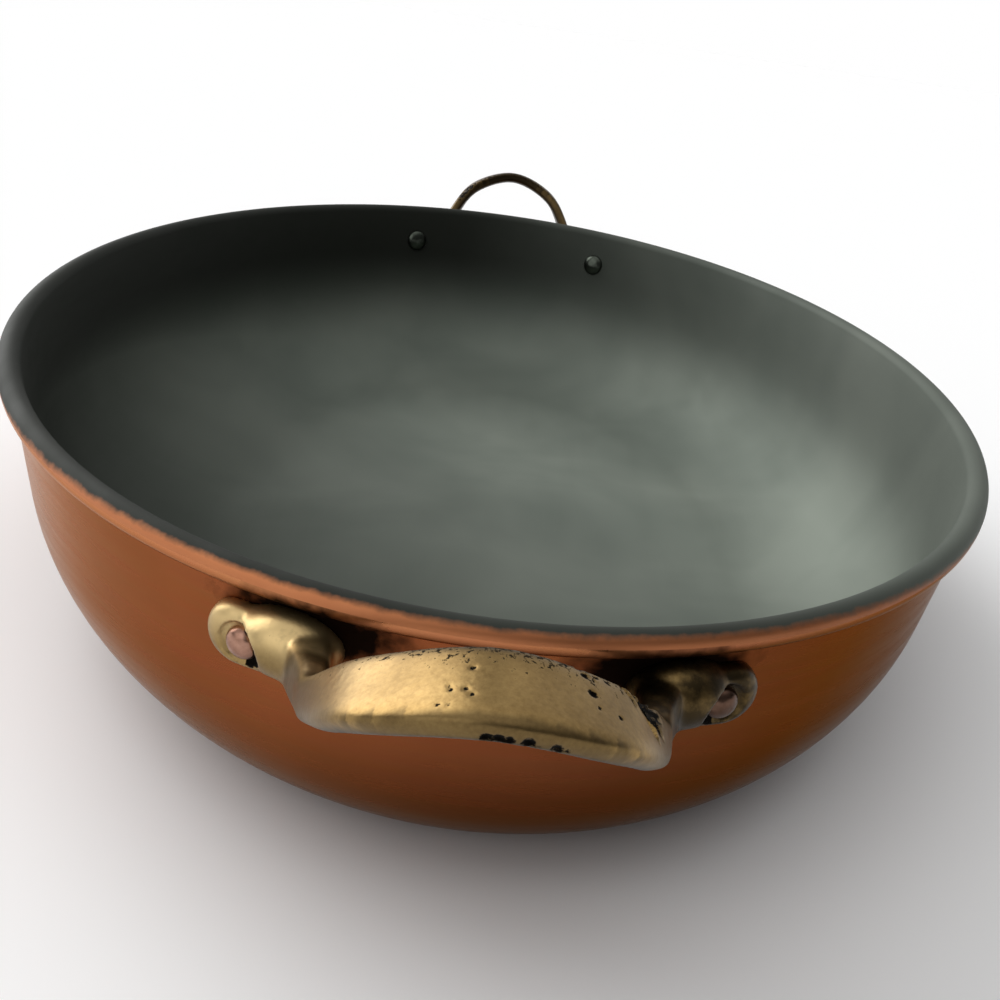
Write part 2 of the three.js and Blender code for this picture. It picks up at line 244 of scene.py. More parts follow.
def bead_point(turn, radius):
    """A point about the bead's middle, turned from straight down the wall by the outermost line."""
    return BEAD_MIDDLE - WALL_UP * radius * math.cos(turn) - WALL_IN * radius * math.sin(turn)


def even_turns(start, end):
    return [start + (end - start) * step / BEAD_STEPS for step in range(BEAD_STEPS + 1)]


def oval_ring(point):
    inset = SECTION_REACH - point.x
    return RIM_HALF_WIDTH - inset, RIM_HALF_LENGTH - inset, point.y


def copper_shell():
    bead = [bead_point(turn, BEAD_RADIUS) for turn in even_turns(BEAD_START, BEAD_INSIDE)]
    section = sheet_line(-HALF_COPPER) + bead + sheet_line(HALF_COPPER)[::-1]
    return ring_stack("copper_shell", [oval_ring(point) for point in section], OVAL_POINTS)


def tin_coat():
    """The tin lies on the copper, runs over the top of the bead and thins out there."""
    bed = [bead_point(turn, BEAD_RADIUS) for turn in even_turns(BEAD_INSIDE, TIN_END)]
    nearness = [step / BEAD_STEPS for step in range(BEAD_STEPS + 1)]
    over = []
    for near, turn in zip(nearness, even_turns(BEAD_INSIDE, TIN_END)):
        over.append(bead_point(turn, BEAD_RADIUS + TIN + (TIN_LEAST - TIN) * near))
    inside = sheet_line(HALF_COPPER)
    section = inside + bed + over[::-1] + sheet_line(HALF_COPPER + TIN)[::-1]
    piece = ring_stack("tin_coat", [oval_ring(point) for point in section], OVAL_POINTS)
    sheet = [0] * len(inside)
    mark(piece, "edge", np.repeat(sheet + nearness + nearness[::-1] + sheet, OVAL_POINTS))
    return piece


# Wall at the end that faces +Y

def wall_inset(height):
    foot_height = FOOT.y - HALF_COPPER * math.sin(WALL_LEAN)
    foot_reach = FOOT.x + HALF_COPPER * math.cos(WALL_LEAN)
    return SECTION_REACH - foot_reach - (height - foot_height) * math.tan(WALL_LEAN)


def wall_point(x, height):
    inset = wall_inset(height)
    across = x / (RIM_HALF_WIDTH - inset)
    return Vector((x, (RIM_HALF_LENGTH - inset) * math.sqrt(1 - across ** 2), height))


def pad_frame(side):
    """Frame at the rivet's place on the wall: X along the wall to the stem, Z square out of the wall."""
    rivet = wall_point(side * RIVET_SPACING / 2, RIVET_LEVEL)
    root = wall_point(side * ROOT_SPACING / 2, RIVET_LEVEL)
    inset = wall_inset(RIVET_LEVEL)
    level = Vector((rivet.x / (RIM_HALF_WIDTH - inset) ** 2, rivet.y / (RIM_HALF_LENGTH - inset) ** 2, 0))
    level.normalize()
    along = Vector((-side * level.y, side * level.x, 0))
    outward = level * math.cos(WALL_LEAN) + Vector((0, 0, -math.sin(WALL_LEAN)))
    turn = Matrix((along, outward.cross(along), outward)).transposed().to_4x4()
    return Matrix.Translation(rivet) @ turn, (root - rivet).dot(along)


# Handle

def curve_at(points, t):
    """A point at t, from 0 to 1, on a smooth curve through the points, with even weight to each span."""
    spans = len(points) - 1
    span = min(int(t * spans), spans - 1)
    weight = t * spans - span
    p1, p2 = points[span], points[span + 1]
    p0 = points[span - 1] if span > 0 else 2 * p1 - p2
    p3 = points[span + 2] if span + 2 <= spans else 2 * p2 - p1
    d0, d1, d2 = (max((b - a).length, 1e-6) ** 0.5 for a, b in ((p0, p1), (p1, p2), (p2, p3)))
    start = ((p1 - p0) / d0 - (p2 - p0) / (d0 + d1) + (p2 - p1) / d1) * d1
    end = ((p2 - p1) / d1 - (p3 - p1) / (d1 + d2) + (p3 - p2) / d2) * d1
    square, cube = weight ** 2, weight ** 3
    return (
        p1 * (2 * cube - 3 * square + 1) + start * (cube - 2 * square + weight)
        + p2 * (3 * square - 2 * cube) + end * (cube - square)
    )


def strap_stations():
    """Middle, breadth vector and thickness, from the root at +X over the grip to the root at -X."""
    end_wall = wall_point(0, RIVET_LEVEL).y
    root_wall = wall_point(ROOT_SPACING / 2, RIVET_LEVEL).y
    half = []
    for span, reach, rise, breadth, thickness, tilt, turn in (ROOT, KNUCKLE, STEM, SHOULDER, HAUNCH, GRIP):
        wall = root_wall if span * MM == ROOT_SPACING else end_wall
        middle = Vector((span / 2 * MM, wall + reach * MM, RIVET_LEVEL + rise * MM))
        tilt, turn = math.radians(tilt), math.radians(turn)
        across = Vector((-math.cos(tilt) * math.sin(turn), math.cos(tilt) * math.cos(turn), -math.sin(tilt)))
        half.append((middle, across * breadth * MM, Vector((0, thickness * MM))))
    flip = Matrix.Diagonal((-1, 1, 1))
    return half + [(flip @ middle, flip @ across, thickness) for middle, across, thickness in half[-2::-1]]


def strap_rings():
    """Frames along the strap: X across its breadth, Y out of the loop, Z along it, with its size."""
    middles, breadths, thicknesses = zip(*strap_stations())
    rings = []
    for step in range(STRAP_STEPS + 1):
        t = step / STRAP_STEPS
        middle, breadth = curve_at(middles, t), curve_at(breadths, t)
        reach = 0.25 / STRAP_STEPS
        along = curve_at(middles, min(1, t + reach)) - curve_at(middles, max(0, t - reach))
        outward = breadth.cross(along).normalized()
        across = breadth.normalized()
        turn = Matrix((across, outward, across.cross(outward))).transposed()
        rings.append((middle, turn, breadth.length, curve_at(thicknesses, t).y))
    return rings


def strap():
    """A band bridged over oblong rings, with its long edges rounded."""
    rings = []
    for middle, turn, breadth, thickness in strap_rings():
        bpy.ops.mesh.primitive_plane_add(size=1, location=middle, rotation=turn.to_euler())
        bpy.ops.transform.resize(value=(breadth, thickness, 1), orient_type="LOCAL")
        rings.append(bpy.context.object)
    piece = join(*rings)
    place(piece, Matrix())
    with editing(piece):
        bpy.ops.mesh.select_all(action="SELECT")
        bpy.ops.mesh.delete(type="ONLY_FACE")
        bpy.ops.mesh.select_all(action="SELECT")
        bpy.ops.mesh.bridge_edge_loops()
        bpy.ops.mesh.select_all(action="SELECT")
        bpy.ops.mesh.fill_holes(sides=4)
        bpy.ops.mesh.normals_make_consistent(inside=False)
        bpy.ops.mesh.select_mode(type="EDGE")
        bpy.ops.mesh.select_all(action="DESELECT")
    for edge in piece.data.edges:
        first, second = edge.vertices
        edge.select = first % 4 == second % 4
    with editing(piece):
        bpy.ops.mesh.bevel(offset_type="PERCENT", offset_pct=STRAP_ROUNDING, segments=4, affect="EDGES")
        bpy.ops.mesh.select_mode(type="VERT")
    finish_with(piece, "SUBSURF", levels=2, render_levels=2)
    return piece


def pad(side):
    """A domed tongue with a round end about the rivet and another about the stem."""
    matrix, root_distance = pad_frame(side)
    bpy.ops.object.select_all(action="DESELECT")
    bpy.ops.mesh.primitive_circle_add(vertices=PAD_POINTS, radius=PAD_RADIUS, fill_type="NGON")
    piece = bpy.context.object
    middle = PAD_RADIUS - PAD_TIP
    with editing(piece):
        bpy.ops.mesh.select_all(action="DESELECT")
    for vertex in piece.data.vertices:
        vertex.select = vertex.co.x > 0
    with editing(piece):
        bpy.ops.transform.resize(value=(ROOT_RADIUS / PAD_RADIUS,) * 3, center_override=(0, 0, 0))
        bpy.ops.transform.translate(value=(root_distance - middle, 0, 0))
        bpy.ops.mesh.select_all(action="SELECT")
        bpy.ops.transform.translate(value=(middle, 0, -PAD_THICKNESS))
        bpy.ops.mesh.extrude_region_move(TRANSFORM_OT_translate={"value": (0, 0, 2 * PAD_THICKNESS)})
        bpy.ops.mesh.bevel(offset=PAD_ROUNDING, segments=PAD_ROUNDING_STEPS, affect="EDGES")
        bpy.ops.mesh.select_all(action="SELECT")
        bpy.ops.mesh.normals_make_consistent(inside=False)
    place(piece, matrix)
    return piece


def swelling(side):
    """The knuckle where the stem grows out of the pad."""
    matrix, root_distance = pad_frame(side)
    bpy.ops.object.select_all(action="DESELECT")
    bpy.ops.mesh.primitive_uv_sphere_add(segments=PAD_POINTS, ring_count=PAD_POINTS // 2, radius=1)
    piece = bpy.context.object
    with editing(piece):
        bpy.ops.mesh.select_all(action="SELECT")
        bpy.ops.transform.resize(value=SWELLING, center_override=(0, 0, 0))
        bpy.ops.transform.translate(value=(root_distance - SWELLING_BACK, side * SWELLING_UP, 0))
    place(piece, matrix)
    return piece


def dish(side):
    """The room round the rivet's head, sunk into the pad and into the swelling beside it."""
    rings = [
        (DISH_RADIUS - DISH_FOOT, PAD_SEAT),
        (DISH_RADIUS - DISH_FOOT / 4, PAD_SEAT + DISH_FOOT / 4),
        (DISH_RADIUS, PAD_SEAT + DISH_FOOT),
        (DISH_RADIUS + DISH_TOP * math.tan(DISH_FLARE), PAD_SEAT + DISH_TOP),
    ]
    piece = ring_stack("dish", [(radius, radius, height) for radius, height in rings], RIVET_POINTS)
    place(piece, pad_frame(side)[0])
    return piece


def wall_room():
    """The room that the body takes up from outside."""
    bead = [bead_point(turn, BEAD_RADIUS) for turn in even_turns(BEAD_START, BEAD_TOP)]
    outside = sheet_line(-HALF_COPPER + PAD_SINK) + bead
    return ring_stack("wall_room", [oval_ring(point) for point in outside], OVAL_POINTS)


def strap_places(points):
    """Each point's place on the strap: along the handle, across the flat, out of the loop, the shares
    of the half breadth and half thickness that it lies from the middle line, and 1 on the flat strap."""
    middles, turns, breadths, thicknesses = (np.array(values) for values in zip(*strap_rings()))
    nearest = np.argmin(((points[:, None] - middles[None]) ** 2).sum(axis=2), axis=1)
    offset = points - middles[nearest]
    across = (offset * turns[nearest][:, :, 0]).sum(axis=1)
    out = (offset * turns[nearest][:, :, 1]).sum(axis=1)
    off_middle = np.abs(nearest / STRAP_STEPS - 0.5)
    share_across = across / breadths[nearest] * 2
    share_out = out / thicknesses[nearest] * 2
    return -points[:, 0], across, out, share_across, share_out, ramp(off_middle, FLAT_END, FLAT_FULL)


def pit_casting(piece):
    """Sinks the casting pits, and marks them, the grime and painted shade in each dish, and where the brass
    takes painted shade, over duller brass on its undersides and edge faces, or a painted highlight.
    """
    count = len(piece.data.vertices)
    points = np.empty(count * 3, dtype=np.float32)
    piece.data.vertices.foreach_get("co", points)
    points = points.reshape(-1, 3).astype(float)
    normals = np.empty(count * 3, dtype=np.float32)
    piece.data.vertices.foreach_get("normal", normals)
    along, across, out, share_across, share_out, on_strap = strap_places(points)
    marks = np.zeros(count)
    sunk = np.zeros(count)
    for pit_along, pit_across, pit_out, radius in PITS:
        distance = np.hypot(along / MM - pit_along, across / MM - pit_across)
        distance = np.hypot(distance, out / MM - pit_out) / radius
        inside = np.clip(1 - distance ** 2, 0, 1)
        sunk = np.maximum(sunk, inside ** 1.5 * radius * PIT_DEPTH * MM)
        marks = np.maximum(marks, np.clip(1.5 - distance, 0, 1))
    on_pad = np.zeros(count)
    for side in (1, -1):
        matrix = pad_frame(side)[0]
        frame_in = np.array(matrix.inverted())
        local = points @ frame_in[:3, :3].T + frame_in[:3, 3]
        same_end = points[:, 0] * matrix.translation.x > 0
        on_pad = np.maximum(on_pad, ramp(local[:, 2], PAD_END, PAD_FULL) * same_end)
        from_rivet = np.hypot(local[:, 0], local[:, 1])
        # Grime and painted shade in each dish, on the stem side of the rivet, kept with the pits.
        dirt_and_shade = ramp(from_rivet, DISH_RADIUS + DISH_GRIME_AND_SHADE, DISH_RADIUS)
        marks = np.maximum(marks, dirt_and_shade * ramp(local[:, 0], 0, DISH_GRIME_AND_SHADE))
    points -= normals.reshape(-1, 3) * sunk[:, None]
    piece.data.vertices.foreach_set("co", points.ravel())
    piece.data.update()
    upper = ramp(share_out, 0, 0.5)
    under = ramp(share_out, 0.2, -0.8)
    facing_pan = ramp(share_across, -0.75, -0.75 - 1 / 6) * ramp(share_out, 1.4, 0.4)
    turning = ramp(np.abs(along), BEND_START, BEND_FULL)
    outer_edge = 0.5 * ramp(share_across, 0.7, 0.825) * ramp(turning, 0.5, 0)
    above_rivet = (points[:, 2] - RIVET_LEVEL) / PAD_RADIUS
    mark(piece, "pit", marks)
    mark(piece, "inner_edge", ramp(share_across, 0, -1) * upper * on_strap)
    # Duller brass with painted shade on the undersides, the faces towards the pan and the outer edge faces.
    mark(piece, "unpolished_and_shaded", np.maximum.reduce([under, facing_pan, outer_edge]) * on_strap)
    mark(piece, "off_strap", 1 - on_strap)
    mark(piece, "bend", turning * (1 - on_pad))
    # Where the painted highlight falls: on the pads, more on their upper part.
    mark(piece, "pad_highlight", on_pad * np.clip(0.5 + above_rivet, 0.15, 1))


def cast_handle():
    """Strap, pads and knuckles fused as one casting, cut to the wall, with soft cast edges."""
    piece = join(strap(), pad(1), pad(-1), swelling(1), swelling(-1))
    finish_with(piece, "REMESH", mode="VOXEL", voxel_size=CAST_GRAIN)
    ends = piece.vertex_groups.new(name="ends")
    for vertex in piece.data.vertices:
        ends.add([vertex.index], min(1, max(0, abs(vertex.co.x) - GRIP_END) / END_FADE), "REPLACE")
    finish_with(piece, "SMOOTH", factor=0.5, iterations=END_SMOOTHING, vertex_group=ends.name)
    cut(piece, wall_room())
    cut(piece, dish(1))
    cut(piece, dish(-1))
    finish_with(piece, "REMESH", mode="VOXEL", voxel_size=CAST_GRAIN)
    finish_with(piece, "SMOOTH", factor=0.5, iterations=CAST_SMOOTHING)
    pit_casting(piece)
    return piece


# Rivets

def rivet(side):
    """A hammered head over the pad, a shank and a flatter head inside the pan."""
    inner = -(COPPER + TIN)
    outer = PAD_SEAT
    rings = []
    for step in range(1, DOME_STEPS + 1):
        turn = math.pi / 2 * step / DOME_STEPS
        rings.append((INNER_HEAD_RADIUS * math.sin(turn), inner - INNER_HEAD_HEIGHT * math.cos(turn)))
    rings += [(SHANK_RADIUS, inner), (SHANK_RADIUS, outer)]
    for step in range(DOME_STEPS):
        turn = math.pi / 2 * step / DOME_STEPS
        rings.append((OUTER_HEAD_RADIUS * math.cos(turn), outer + OUTER_HEAD_HEIGHT * math.sin(turn)))
    piece = ring_stack("rivet", [(radius, radius, height) for radius, height in rings], RIVET_POINTS)
    heights = np.repeat([height for _, height in rings], RIVET_POINTS)
    mark(piece, "inside_pan", heights < -COPPER)
    place(piece, pad_frame(side)[0])
    return piece


# Materials

FACTOR, FIRST, SECOND, MIXED = 0, 6, 7, 2  # sockets of a colour mix
# Lighter copper: a painted highlight on the copper's bead, and the bare copper where the tin wears through.
BARE_AND_HIGHLIT_COPPER = "#BC7A52"
SHADED_COPPER = "#441F0E"
LIT_SIDE, SHADED_SIDE = -50 * MM, 120 * MM  # across the pan, from lit copper to copper in painted shade


def linear(hex_colour):
    """An sRGB hex value as linear red, green, blue and alpha."""
    channels = [int(hex_colour[i:i + 2], 16) / 255 for i in (1, 3, 5)]
    return tuple(c / 12.92 if c <= 0.04045 else ((c + 0.055) / 1.055) ** 2.4 for c in channels) + (1,)


def node(tree, kind, inputs=(), **settings):
    """Adds one node, with its settings, and with a link or a value on each input named."""
    new = tree.nodes.new(kind)
    for name, value in settings.items():
        setattr(new, name, value)
    for socket, value in dict(inputs).items():
        if isinstance(value, bpy.types.NodeSocket):
            tree.links.new(value, new.inputs[socket])
        else:
            new.inputs[socket].default_value = value
    return new


def metal(name):
    material = bpy.data.materials.new(name)
    material.use_nodes = True
    shader = material.node_tree.nodes["Principled BSDF"]
    shader.inputs["Metallic"].default_value = 1
    return material, material.node_tree, shader


def copper_finish():
    """Raised copper sheet, polished by hand: warm, softly clouded reflections, a slightly wavy skin, painted
    shade darkening its lower part, one side and that side's grazing reflections, a painted highlight on the
    bead, and old polish and soot round the roots of the handles, darkened further there as painted shade."""
    cloud, wave, rub, crust = 85 * MM, 45 * MM, 2.5 * MM, 3 * MM
    material, tree, shader = metal("hand_polished_copper_shade_painted")
    at = node(tree, "ShaderNodeTexCoord").outputs["Object"]
    clouds = node(tree, "ShaderNodeTexNoise", {"Vector": at, "Scale": 1 / cloud, "Detail": 3})
    browned = node(
        tree, "ShaderNodeMix",
        {FACTOR: clouds.outputs["Fac"], FIRST: linear("#6C371C"), SECOND: linear("#AC663E")},
        data_type="RGBA",
    )
    high = node(tree, "ShaderNodeSeparateXYZ", {0: at})
    # Painted shade: the copper grows darker towards the bottom and towards +X, the side away from the
    # windows.
    shade_below = node(
        tree, "ShaderNodeMapRange",
        {"Value": high.outputs["Z"], "From Min": 48 * MM, "From Max": 5 * MM, "To Max": 0.5},
    )
    shade_by_side = node(
        tree, "ShaderNodeMapRange",
        {"Value": high.outputs["X"], "From Min": LIT_SIDE, "From Max": SHADED_SIDE, "To Max": 0.8},
    )
    shade_amount = node(
        tree, "ShaderNodeMath", {0: shade_below.outputs["Result"], 1: shade_by_side.outputs["Result"]}, operation="ADD"
    )
    # Painted highlight: the copper on the bead is lighter.
    bead_highlight = node(
        tree, "ShaderNodeMapRange",
        {"Value": high.outputs["Z"], "From Min": BEAD_FOOT, "From Max": BEAD_FOOT + BEAD_RADIUS},
    )
    highlit_bead = node(
        tree, "ShaderNodeMix",
        {FACTOR: bead_highlight.outputs["Result"], FIRST: browned.outputs[MIXED], SECOND: linear(BARE_AND_HIGHLIT_COPPER)},
        data_type="RGBA",
    )
    shaded_mix = node(
        tree, "ShaderNodeMix",
        {FACTOR: shade_amount.outputs["Value"], FIRST: highlit_bead.outputs[MIXED], SECOND: linear(SHADED_COPPER)},
        data_type="RGBA",
    )
    level_rub = node(tree, "ShaderNodeMapping", {"Vector": at, "Scale": (0.06, 0.06, 1)})
    rubbed = node(
        tree, "ShaderNodeTexNoise",
        {"Vector": level_rub.outputs["Vector"], "Scale": 1 / rub, "Detail": 4, "Roughness": 0.6},
    )
    streaked = node(
        tree, "ShaderNodeMix",
        {FACTOR: 0.16, FIRST: shaded_mix.outputs[MIXED], SECOND: rubbed.outputs["Color"]},
        data_type="RGBA", blend_type="SOFT_LIGHT",
    )
    mirrored = node(tree, "ShaderNodeVectorMath", {0: at}, operation="ABSOLUTE")
    longer = node(tree, "ShaderNodeMapping", {"Vector": mirrored.outputs["Vector"], "Scale": (0.4, 0.3, 1)})
    root = wall_point(ROOT_SPACING / 2, RIVET_LEVEL + ROOT_RADIUS)
    away = node(
        tree, "ShaderNodeVectorMath",
        {0: longer.outputs["Vector"], 1: (root.x * 0.4, root.y * 0.3, root.z)},
        operation="DISTANCE",
    )
    ragged = node(tree, "ShaderNodeTexNoise", {"Vector": at, "Scale": 1 / crust, "Detail": 5})
    spread = node(
        tree, "ShaderNodeMath",
        {0: ragged.outputs["Fac"], 1: -5 * MM, 2: away.outputs["Value"]},
        operation="MULTIPLY_ADD",
    )
    # Old polish and soot round the roots of the handles, darkened further as painted shade between the pads,
    # bead and wall.
    caked_and_shaded = node(
        tree, "ShaderNodeMapRange",
        {"Value": spread.outputs["Value"], "From Min": 6 * MM, "From Max": 2 * MM},
    )
    dirty_and_shaded = node(
        tree, "ShaderNodeMix",
        {FACTOR: caked_and_shaded.outputs["Result"], FIRST: streaked.outputs[MIXED], SECOND: linear("#150C08")},
        data_type="RGBA",
    )
    tree.links.new(dirty_and_shaded.outputs[MIXED], shader.inputs["Base Color"])
    gloss = node(
        tree, "ShaderNodeMapRange",
        {"Value": rubbed.outputs["Fac"], "From Min": 0.3, "From Max": 0.7, "To Min": 0.22, "To Max": 0.3},
    )
    dulled = node(
        tree, "ShaderNodeMath", {0: caked_and_shaded.outputs["Result"], 1: 0.4, 2: gloss.outputs["Result"]},
        operation="MULTIPLY_ADD",
    )
    tree.links.new(dulled.outputs["Value"], shader.inputs["Roughness"])
    waves = node(tree, "ShaderNodeTexNoise", {"Vector": at, "Scale": 1 / wave, "Detail": 1})
    wavy = node(
        tree, "ShaderNodeBump", {"Height": waves.outputs["Fac"], "Distance": 2 * MM, "Strength": 0.35}
    )
    scratched = node(
        tree, "ShaderNodeBump",
        {
            "Height": rubbed.outputs["Fac"], "Distance": 0.1 * MM, "Strength": 0.25,
            "Normal": wavy.outputs["Normal"],
        },
    )
    tree.links.new(scratched.outputs["Normal"], shader.inputs["Normal"])
    # Painted shade: the grazing reflections are dimmer towards +X.
    shaded_grazing = node(
        tree, "ShaderNodeMix",
        {FACTOR: shade_by_side.outputs["Result"], FIRST: linear("#EFDCCB"), SECOND: linear("#C4A896")},
        data_type="RGBA",
    )
    tree.links.new(shaded_grazing.outputs[MIXED], shader.inputs["Specular Tint"])
    return material


def tin_finish():
    """Tin wiped on hot and gone dull with use: cloudy grey-green with wipe marks, painted shade darkening the
    wall, most on the left, and the front and left of the floor, and rubbed through to the copper where it
    ends on the bead, that copper darkened by painted shade towards one side."""
    cloud, wipe, speck = 70 * MM, 9 * MM, 4 * MM
    material, tree, shader = metal("hot_wiped_tin_dull")
    at = node(tree, "ShaderNodeTexCoord").outputs["Object"]
    clouds = node(
        tree, "ShaderNodeTexNoise", {"Vector": at, "Scale": 1 / cloud, "Detail": 3, "Distortion": 0.4}
    )
    dull = node(
        tree, "ShaderNodeMapRange",
        {"Value": clouds.outputs["Fac"], "From Min": 0.32, "From Max": 0.68},
    )
    cloudy = node(
        tree, "ShaderNodeMix",
        {FACTOR: dull.outputs["Result"], FIRST: linear("#6D756C"), SECOND: linear("#838A80")},
        data_type="RGBA",
    )
    high = node(tree, "ShaderNodeSeparateXYZ", {0: at})
    # Painted shade: the tin grows dark up the wall, most on the left, away from the windows.
    up_wall = node(
        tree, "ShaderNodeMapRange",
        {"Value": high.outputs["Z"], "From Min": 14 * MM, "From Max": 54 * MM},
        interpolation_type="SMOOTHSTEP",
    )
    shade_by_side = node(
        tree, "ShaderNodeMapRange",
        {
            "Value": high.outputs["X"], "From Min": 110 * MM, "From Max": -20 * MM,
            "To Min": 0.5, "To Max": 0.97,
        },
    )
    wall_shade = node(
        tree, "ShaderNodeMath", {0: up_wall.outputs["Result"], 1: shade_by_side.outputs["Result"]},
        operation="MULTIPLY",
    )
    # Painted shade: the floor grows darker towards the front and left.
    front_left = node(
        tree, "ShaderNodeVectorMath", {0: at, 1: (-0.8, -1, 0)}, operation="DOT_PRODUCT"
    )
    floor_shade = node(
        tree, "ShaderNodeMapRange",
        {"Value": front_left.outputs["Value"], "From Min": -70 * MM, "From Max": 160 * MM, "To Max": 0.9},
    )
    tin_shade = node(
        tree, "ShaderNodeMath", {0: wall_shade.outputs["Value"], 1: floor_shade.outputs["Result"]},
        operation="MAXIMUM",
    )
    shaded_tin = node(
        tree, "ShaderNodeMix",
        {FACTOR: tin_shade.outputs["Value"], FIRST: cloudy.outputs[MIXED], SECOND: linear("#191C15")},
        data_type="RGBA",
    )
    stretched = node(
        tree, "ShaderNodeMapping",
        {"Vector": at, "Rotation": (0, 0, math.radians(35)), "Scale": (1, 0.16, 1)},
    )
    wiped = node(
        tree, "ShaderNodeTexNoise",
        {"Vector": stretched.outputs["Vector"], "Scale": 1 / wipe, "Detail": 5, "Roughness": 0.6},
    )
    streaked = node(
        tree, "ShaderNodeMix",
        {FACTOR: 0.12, FIRST: shaded_tin.outputs[MIXED], SECOND: wiped.outputs["Fac"]},
        data_type="RGBA", blend_type="SOFT_LIGHT",
    )
    edge = node(tree, "ShaderNodeAttribute", attribute_name="edge")
    specks = node(
        tree, "ShaderNodeTexNoise", {"Vector": at, "Scale": 1 / speck, "Detail": 3, "Roughness": 0.7}
    )
    mirrored = node(tree, "ShaderNodeVectorMath", {0: at}, operation="ABSOLUTE")
    sides = node(tree, "ShaderNodeSeparateXYZ", {0: mirrored.outputs["Vector"]})
    rubbed = node(
        tree, "ShaderNodeMapRange",
        {
            "Value": sides.outputs["Y"], "From Min": 90 * MM, "From Max": 190 * MM,
            "To Min": 0.36, "To Max": 0.66,
        },
    )
    near = node(
        tree, "ShaderNodeMath", {0: edge.outputs["Fac"], 1: rubbed.outputs["Result"]}, operation="MULTIPLY"
    )
    worn = node(
        tree, "ShaderNodeMath", {0: specks.outputs["Fac"], 1: 0.14, 2: near.outputs["Value"]},
        operation="MULTIPLY_ADD",
    )
    through = node(
        tree, "ShaderNodeMapRange",
        {"Value": worn.outputs["Value"], "From Min": 0.49, "From Max": 0.6},
    )
    # Painted shade: the bare copper on the bead is darker towards +X.
    shade_amount = node(
        tree, "ShaderNodeMapRange",
        {"Value": high.outputs["X"], "From Min": LIT_SIDE, "From Max": SHADED_SIDE, "To Max": 0.7},
    )
    bare_copper_shaded = node(
        tree, "ShaderNodeMix",
        {FACTOR: shade_amount.outputs["Result"], FIRST: linear(BARE_AND_HIGHLIT_COPPER), SECOND: linear(SHADED_COPPER)},
        data_type="RGBA",
    )
    edged = node(
        tree, "ShaderNodeMix",
        {
            FACTOR: through.outputs["Result"], FIRST: streaked.outputs[MIXED],
            SECOND: bare_copper_shaded.outputs[MIXED],
        },
        data_type="RGBA",
    )
    tree.links.new(edged.outputs[MIXED], shader.inputs["Base Color"])
    gloss = node(
        tree, "ShaderNodeMapRange",
        {"Value": wiped.outputs["Fac"], "From Min": 0.3, "From Max": 0.7, "To Min": 0.66, "To Max": 0.76},
    )
    polished = node(
        tree, "ShaderNodeMath", {0: through.outputs["Result"], 1: -0.2, 2: gloss.outputs["Result"]},
        operation="MULTIPLY_ADD",
    )
    tree.links.new(polished.outputs["Value"], shader.inputs["Roughness"])
    bare = node(
        tree, "ShaderNodeMapRange",
        {"Value": through.outputs["Result"], "To Min": 0.5, "To Max": 1},
    )
    tree.links.new(bare.outputs["Result"], shader.inputs["Metallic"])
    uneven = node(
        tree, "ShaderNodeBump", {"Height": wiped.outputs["Fac"], "Distance": 0.3 * MM, "Strength": 0.25}
    )
    tree.links.new(uneven.outputs["Normal"], shader.inputs["Normal"])
    return material


